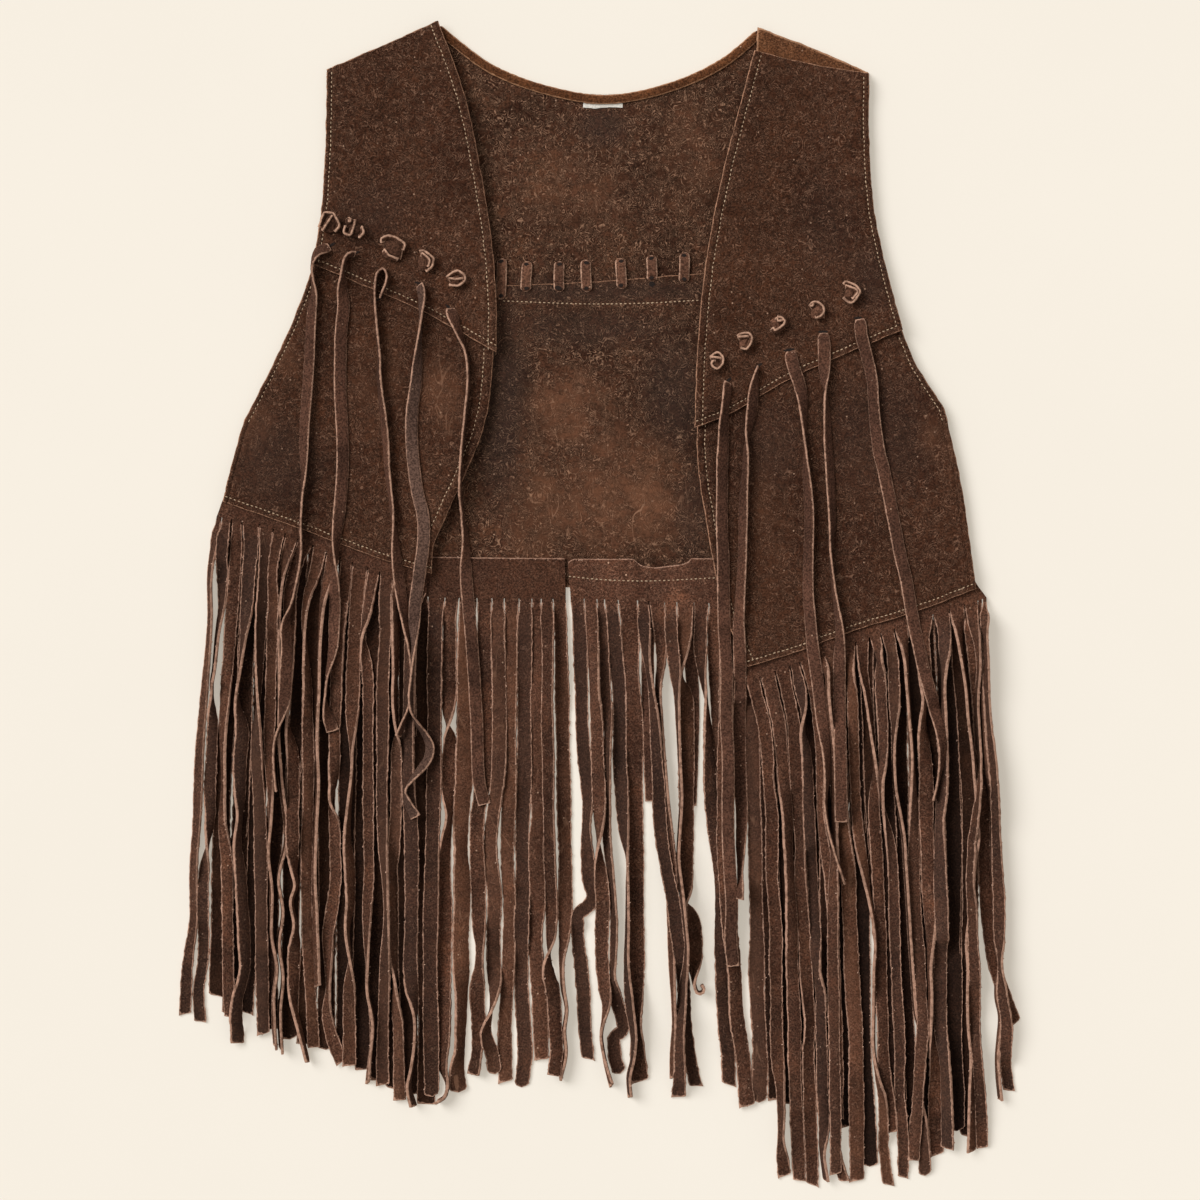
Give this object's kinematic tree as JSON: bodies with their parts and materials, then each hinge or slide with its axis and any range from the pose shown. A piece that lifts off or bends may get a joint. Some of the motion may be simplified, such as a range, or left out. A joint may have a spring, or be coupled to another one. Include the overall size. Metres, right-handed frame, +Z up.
{
  "type": "fringed vest",
  "caption": "Open suede vest with yoke seams, knotted hanging thongs and long cut fringe along the hem, lying flat with its fronts turned over the back.",
  "frame": {"origin": "bottom centre of the bounding box, on the surface that the vest lies on", "axes": "+Y from the fringe's tips towards the neck, +X to the right of the view from above, +Z up from the surface"},
  "size_m": [0.5601, 0.7763, 0.0184],
  "materials": {
    "suede_front": "napped dark brown suede",
    "suede_back": "napped inside face, a little lighter",
    "suede_fringe": "napped strands with lighter cut edges",
    "suede_thong": "napped thong with lighter cut edges",
    "suede_binding": "turned edge, rubbed to orange brown",
    "label_cloth": "bare woven stub"
  },
  "bodies": {
    "root": {"back_yoke": "suede_back", "back_lower": "suede_back", "front_left_yoke": "suede_front", "front_left_lower": "suede_front", "front_right_yoke": "suede_front", "front_right_lower": "suede_front", "back_fringe_left": "suede_fringe", "back_fringe_right": "suede_fringe", "front_left_fringe": "suede_fringe", "front_right_fringe": "suede_fringe", "neck_binding": "suede_binding", "shoulder_turn_right": "suede_binding", "label_stub": "label_cloth", "back_loop_1": "suede_thong", "back_loop_2": "suede_thong", "back_loop_3": "suede_thong", "back_loop_4": "suede_thong", "back_loop_5": "suede_thong", "back_loop_6": "suede_thong", "back_loop_7": "suede_thong", "back_thong_end_1": "suede_thong", "back_thong_end_2": "suede_thong", "knot_left_1": "suede_thong", "thong_left_1": "suede_thong", "knot_left_2": "suede_thong", "thong_left_2": "suede_thong", "knot_left_3": "suede_thong", "thong_left_3": "suede_thong", "knot_left_4": "suede_thong", "thong_left_4": "suede_thong", "knot_left_5": "suede_thong", "thong_left_5": "suede_thong", "knot_right_1": "suede_thong", "thong_right_1": "suede_thong", "knot_right_2": "suede_thong", "thong_right_2": "suede_thong", "knot_right_3": "suede_thong", "thong_right_3": "suede_thong", "knot_right_4": "suede_thong", "thong_right_4": "suede_thong", "knot_right_5": "suede_thong", "thong_right_5": "suede_thong"}
  },
  "joints": []
}
